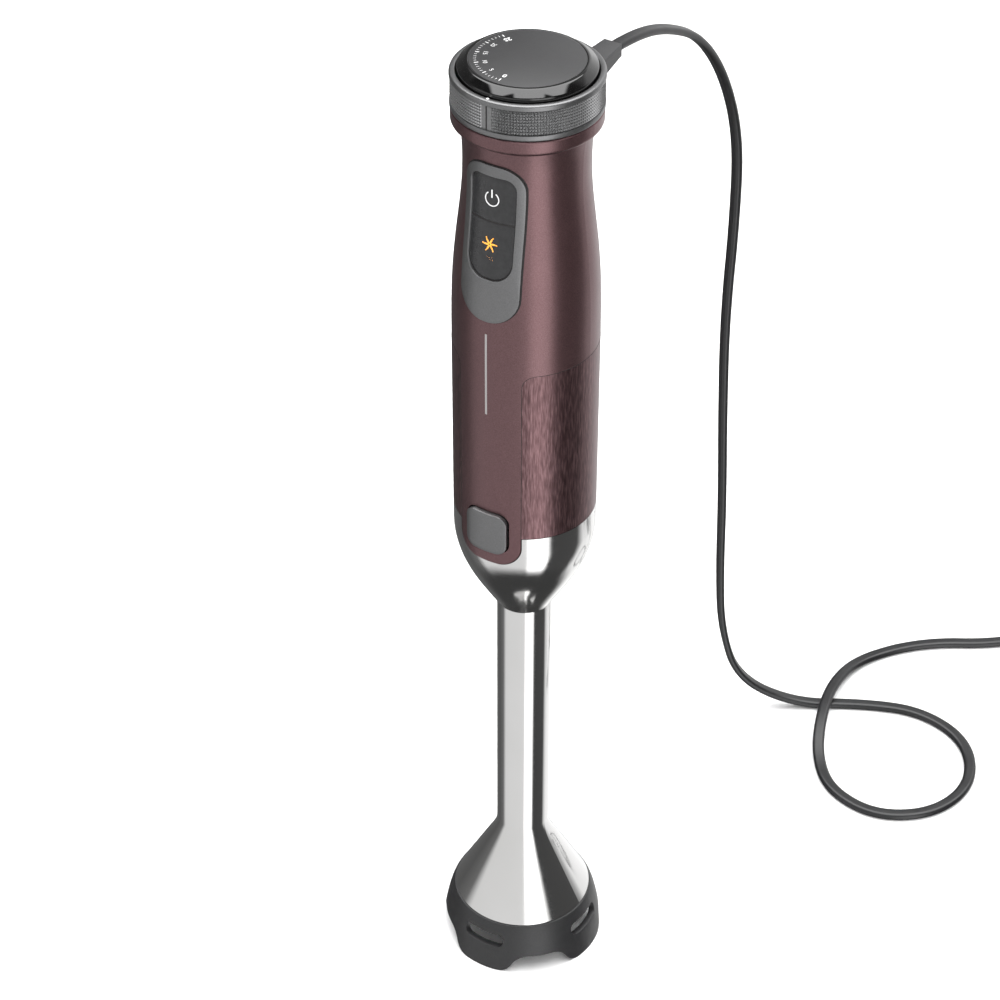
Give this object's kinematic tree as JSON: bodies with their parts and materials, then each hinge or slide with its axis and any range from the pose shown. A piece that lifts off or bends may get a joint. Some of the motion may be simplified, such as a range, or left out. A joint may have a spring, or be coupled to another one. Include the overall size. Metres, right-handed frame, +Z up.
{
  "type": "immersion blender",
  "caption": "Corded immersion blender: slim round handle with a rotary speed ring and front push buttons, detachable steel blending shaft with a bell and slotted guard.",
  "frame": {"origin": "on the surface it stands on, on the axis of the blending shaft", "axes": "+Z up along the shaft and handle, controls face -Y, cord leaves towards +Y, +X to the right seen from the controls"},
  "size_m": [0.2845, 0.3724, 0.4392],
  "materials": {
    "plum_paint": "satin metallic",
    "brushed_plum": "brushed",
    "gunmetal": "satin",
    "gloss_black": "gloss",
    "matte_black": "fine matte",
    "dial_grey": "satin",
    "polished_steel": "polished",
    "blade_steel": "ground",
    "machine_steel": "machined",
    "copper_wire": "enamelled",
    "white_print": "print",
    "amber_light": "lit window",
    "silver_trim": "satin",
    "board_green": "laminate",
    "grey_plastic": "moulded",
    "carbon": "carbon",
    "soft_rubber": "matte",
    "cord_black": "satin sheath"
  },
  "bodies": {
    "handle": {"handle_shell": "plum_paint", "grip_panel": "brushed_plum", "accent_strip": "silver_trim", "control_bezel": "gunmetal", "top_frame": "matte_black", "track_board": "board_green", "dial_cap": "gloss_black", "dial_face": "dial_grey", "cap_screws": "machine_steel", "circuit_board": "board_green", "board_switches": "grey_plastic", "capacitor": "silver_trim", "coupling_socket": "matte_black", "rubber_mounts": "soft_rubber", "motor_frame": "grey_plastic", "motor_bearings": "machine_steel", "stator_core": "machine_steel", "field_coils": "copper_wire", "brush_holders": "copper_wire", "carbon_brushes": "carbon", "strain_relief": "soft_rubber", "cord_clamp": "matte_black", "power_cord": "cord_black", "cord_tail": "cord_black", "cord_coil": "cord_black", "plug_body": "cord_black", "plug_pins": "machine_steel"},
    "speed_dial": {"speed_ring": "gunmetal", "ring_pointer": "white_print", "ring_wiper": "machine_steel"},
    "power_key": {"power_button": "gloss_black", "power_icon": "white_print"},
    "turbo_key": {"turbo_button": "gloss_black", "turbo_icon": "amber_light"},
    "release_key": {"release_button": "gunmetal", "latch_slide": "matte_black", "release_spring": "machine_steel"},
    "motor_rotor": {"armature_core": "machine_steel", "armature_windings": "copper_wire", "commutator": "copper_wire", "motor_shaft": "machine_steel", "cooling_fan": "grey_plastic", "motor_coupling": "grey_plastic"},
    "blending_shaft": {"steel_cup": "polished_steel", "shaft_adaptor": "matte_black", "upper_bushing": "grey_plastic", "steel_tube": "polished_steel", "lower_bushing": "grey_plastic", "shaft_seal": "soft_rubber", "bearing_nose": "matte_black", "steel_bell": "polished_steel", "bell_guard": "matte_black"},
    "blade_drive": {"shaft_coupling": "grey_plastic", "drive_spindle": "machine_steel", "blade": "blade_steel", "blade_nut": "machine_steel"}
  },
  "joints": [
    {"name": "speed_turn", "type": "hinge", "parent": "handle", "child": "speed_dial", "pos_m": [0, 0, 0.43], "axis": [0, 0, 1], "range_deg": [-120, 0]},
    {"name": "power_press", "type": "slide", "parent": "handle", "child": "power_key", "axis": [0, 1, 0], "range_m": [0, 0.0015], "stiffness_N_per_m": 1500},
    {"name": "turbo_press", "type": "slide", "parent": "handle", "child": "turbo_key", "axis": [0, 1, 0], "range_m": [0, 0.0015], "stiffness_N_per_m": 1500},
    {"name": "release_press", "type": "slide", "parent": "handle", "child": "release_key", "axis": [0, 1, 0], "range_m": [0, 0.0015], "stiffness_N_per_m": 2000},
    {"name": "motor_spin", "type": "hinge", "parent": "handle", "child": "motor_rotor", "pos_m": [0, 0, 0.3], "axis": [0, 0, 1], "continuous": true},
    {"name": "shaft_pull", "type": "slide", "parent": "handle", "child": "blending_shaft", "axis": [0, 0, -1], "range_m": [0, 0.06]},
    {"name": "blade_spin", "type": "hinge", "parent": "blending_shaft", "child": "blade_drive", "pos_m": [0, 0, 0.1], "axis": [0, 0, 1], "continuous": true}
  ],
  "couplings": [
    {"joint": "blade_spin", "follows": "motor_spin", "ratio": 1}
  ]
}
